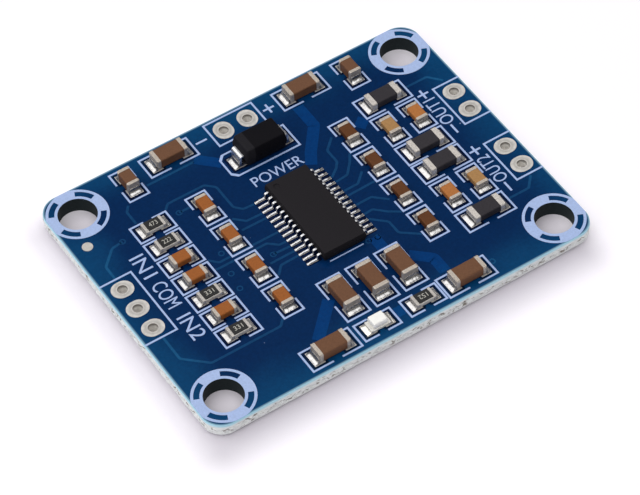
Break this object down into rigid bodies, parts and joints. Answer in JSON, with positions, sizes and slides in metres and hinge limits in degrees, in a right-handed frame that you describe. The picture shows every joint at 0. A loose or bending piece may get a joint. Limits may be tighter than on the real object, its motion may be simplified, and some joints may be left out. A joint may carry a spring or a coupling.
{
  "type": "audio amplifier board",
  "caption": "Blue stereo audio amplifier circuit board with a flat chip, soldered chip parts, corner mounting holes and open plated wire holes.",
  "frame": {"origin": "centre of the board's underside", "axes": "+X along the length to the loudspeaker edge, +Y to the power edge, +Z out of the side that carries the parts"},
  "size_m": [0.04, 0.03, 0.0038],
  "materials": {
    "solder_mask": "glossy blue solder mask over glass-epoxy laminate",
    "print_ink": "pale screen-printed ink",
    "tinned_copper": "tinned copper",
    "end_plating": "matt tin plating",
    "solder": "bright reflowed solder",
    "moulded_epoxy": "matt black moulded epoxy",
    "lamp_base": "white laminate",
    "lamp_lens": "milky white epoxy",
    "resistor_glass": "black glass overcoat",
    "alumina": "white alumina",
    "tan_ceramic": "fired tan dielectric ceramic",
    "dark_brown_ceramic": "fired dark brown dielectric ceramic",
    "orange_ceramic": "fired light orange dielectric ceramic",
    "brown_ceramic": "fired brown dielectric ceramic",
    "ferrite": "fired charcoal ferrite"
  },
  "bodies": {
    "root": {"audio_input_eyelets": "tinned_copper", "audio_left_eyelets": "tinned_copper", "audio_right_eyelets": "tinned_copper", "board_power_eyelets": "tinned_copper", "bootstrap_capacitor_1": "dark_brown_ceramic", "bootstrap_capacitor_2": "dark_brown_ceramic", "bootstrap_capacitor_3": "dark_brown_ceramic", "bootstrap_capacitor_4": "dark_brown_ceramic", "chip_body": "moulded_epoxy", "chip_heat_pad": "solder", "chip_left_leads": "tinned_copper", "chip_pads": "tinned_copper", "chip_right_leads": "tinned_copper", "circuit_board": "solder_mask", "corner_capacitor_1": "brown_ceramic", "corner_capacitor_2": "brown_ceramic", "diode_body": "moulded_epoxy", "diode_terminals": "tinned_copper", "hole_rings": "print_ink", "input_capacitor_1": "tan_ceramic", "input_capacitor_2": "tan_ceramic", "input_capacitor_3": "tan_ceramic", "input_capacitor_4": "tan_ceramic", "input_capacitor_5": "tan_ceramic", "input_capacitor_6": "tan_ceramic", "input_capacitor_7": "tan_ceramic", "lamp_base": "lamp_base", "lamp_lens": "lamp_lens", "lamp_terminals": "tinned_copper", "lead_solder": "solder", "outline_print": "print_ink", "output_bead_1": "ferrite", "output_bead_2": "ferrite", "output_bead_3": "ferrite", "output_bead_4": "ferrite", "output_bead_caps": "end_plating", "output_capacitor_1": "orange_ceramic", "output_capacitor_2": "orange_ceramic", "output_capacitor_3": "orange_ceramic", "output_capacitor_4": "orange_ceramic", "part_pads": "tinned_copper", "part_solder": "solder", "resistor_1": "alumina", "resistor_2": "alumina", "resistor_3": "alumina", "resistor_4": "alumina", "resistor_5": "alumina", "resistor_caps": "end_plating", "resistor_overcoats": "resistor_glass", "small_capacitor_caps": "end_plating", "supply_capacitor_1": "brown_ceramic", "supply_capacitor_2": "brown_ceramic", "supply_capacitor_3": "brown_ceramic", "supply_capacitor_4": "brown_ceramic", "supply_capacitor_5": "brown_ceramic", "supply_capacitor_6": "brown_ceramic", "supply_capacitor_7": "brown_ceramic", "supply_capacitor_caps": "end_plating", "test_pad": "tinned_copper"}
  },
  "joints": []
}
